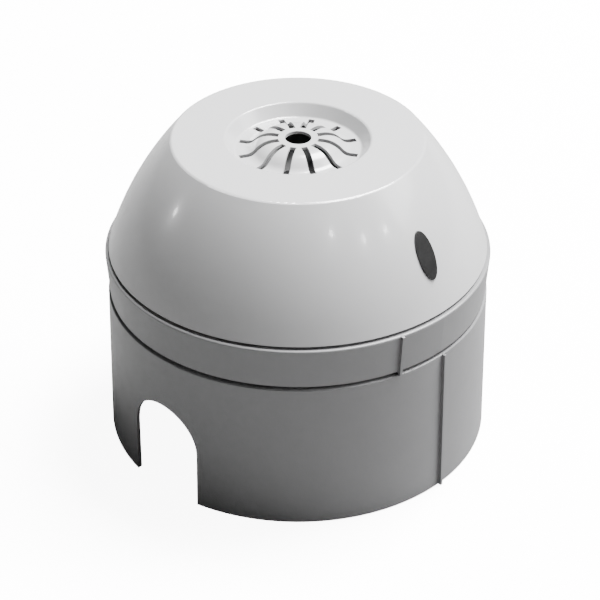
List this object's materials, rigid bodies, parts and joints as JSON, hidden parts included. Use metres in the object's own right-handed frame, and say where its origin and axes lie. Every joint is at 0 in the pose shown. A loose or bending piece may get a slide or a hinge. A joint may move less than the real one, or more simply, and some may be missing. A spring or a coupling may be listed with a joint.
{
  "type": "alarm siren",
  "caption": "Round electronic alarm siren with a glossy domed cover, slotted sound outlet and a twist-on head on a deep mounting skirt with a conduit arch.",
  "frame": {"origin": "middle of the skirt's foot, on the mounting surface", "axes": "+Z out of the mounting surface through the sound outlet, -Y through the conduit arch, +X through the status lens"},
  "size_m": [0.1015, 0.1003, 0.0838],
  "materials": {
    "case_grey": "satin moulded grey",
    "cover_gloss": "glossy moulded light grey",
    "black_rubber": "matt",
    "contact_brass": "plain",
    "zinc_steel": "zinc plated",
    "lens_smoked": "polished dark tinted",
    "clear_plastic": "polished clear",
    "lamp_red": "tinted",
    "black_plastic": "moulded",
    "board_green": "solder mask",
    "switch_blue": "moulded",
    "sink_aluminium": "plain",
    "ferrite": "sintered",
    "winding_copper": "lacquered copper",
    "capacitor_sleeve": "sleeved",
    "basket_black": "satin black",
    "spider_cloth": "doped cloth",
    "lead_red": "sleeved wire",
    "cone_black": "formed film",
    "former_aluminium": "foil",
    "lever_white": "moulded"
  },
  "bodies": {
    "base": {"base_skirt": "case_grey", "mounting_base": "case_grey", "cable_grommet": "black_rubber", "contact_plates": "contact_brass", "terminal_clamps": "zinc_steel", "terminal_screws": "zinc_steel", "base_screws": "zinc_steel"},
    "head": {"head_chassis": "case_grey", "base_seal": "black_rubber", "dome_seal": "black_rubber", "dome_cover": "cover_gloss", "status_lens": "lens_smoked", "light_guide": "clear_plastic", "dome_screws": "zinc_steel", "main_pcb": "board_green", "board_screws": "zinc_steel", "contact_springs": "contact_brass", "dip_switch": "switch_blue", "volume_pot": "switch_blue", "status_led": "lamp_red", "led_holder": "black_plastic", "transformer_core": "ferrite", "transformer_winding": "winding_copper", "capacitors": "capacitor_sleeve", "controller_chip": "black_plastic", "amplifier": "black_plastic", "heat_sink": "sink_aluminium", "surface_parts": "black_plastic", "driver_yoke": "zinc_steel", "driver_magnet": "ferrite", "driver_top_plate": "zinc_steel", "driver_basket": "basket_black", "driver_surround": "black_rubber", "driver_spider": "spider_cloth", "driver_gasket": "black_rubber", "driver_screws": "zinc_steel", "driver_tag_board": "board_green", "driver_leads": "lead_red"},
    "cone": {"driver_cone": "cone_black", "dust_cap": "cone_black", "coil_former": "former_aluminium", "voice_coil": "winding_copper"},
    "dip_lever_1": {"dip_lever_1": "lever_white"},
    "dip_lever_2": {"dip_lever_2": "lever_white"},
    "dip_lever_3": {"dip_lever_3": "lever_white"},
    "dip_lever_4": {"dip_lever_4": "lever_white"},
    "volume_rotor": {"volume_rotor": "lever_white"}
  },
  "joints": [
    {"name": "head_twist", "type": "hinge", "parent": "base", "child": "head", "pos_m": [0, 0, 0.04], "axis": [0, 0, 1], "range_deg": [0, 16.5]},
    {"name": "cone_travel", "type": "slide", "parent": "head", "child": "cone", "axis": [0, 0, 1], "range_m": [-0.0005, 0.0005], "stiffness_N_per_m": 2000, "deforming": ["driver_surround", "driver_spider"]},
    {"name": "tone_switch_1", "type": "slide", "parent": "head", "child": "dip_lever_1", "axis": [0, 1, 0], "range_m": [0, 0.0017]},
    {"name": "tone_switch_2", "type": "slide", "parent": "head", "child": "dip_lever_2", "axis": [0, 1, 0], "range_m": [0, 0.0017]},
    {"name": "tone_switch_3", "type": "slide", "parent": "head", "child": "dip_lever_3", "axis": [0, 1, 0], "range_m": [0, 0.0017]},
    {"name": "tone_switch_4", "type": "slide", "parent": "head", "child": "dip_lever_4", "axis": [0, 1, 0], "range_m": [0, 0.0017]},
    {"name": "volume_turn", "type": "hinge", "parent": "head", "child": "volume_rotor", "pos_m": [0, 0.014, 0.045], "axis": [0, 0, 1], "range_deg": [-130, 130]}
  ]
}
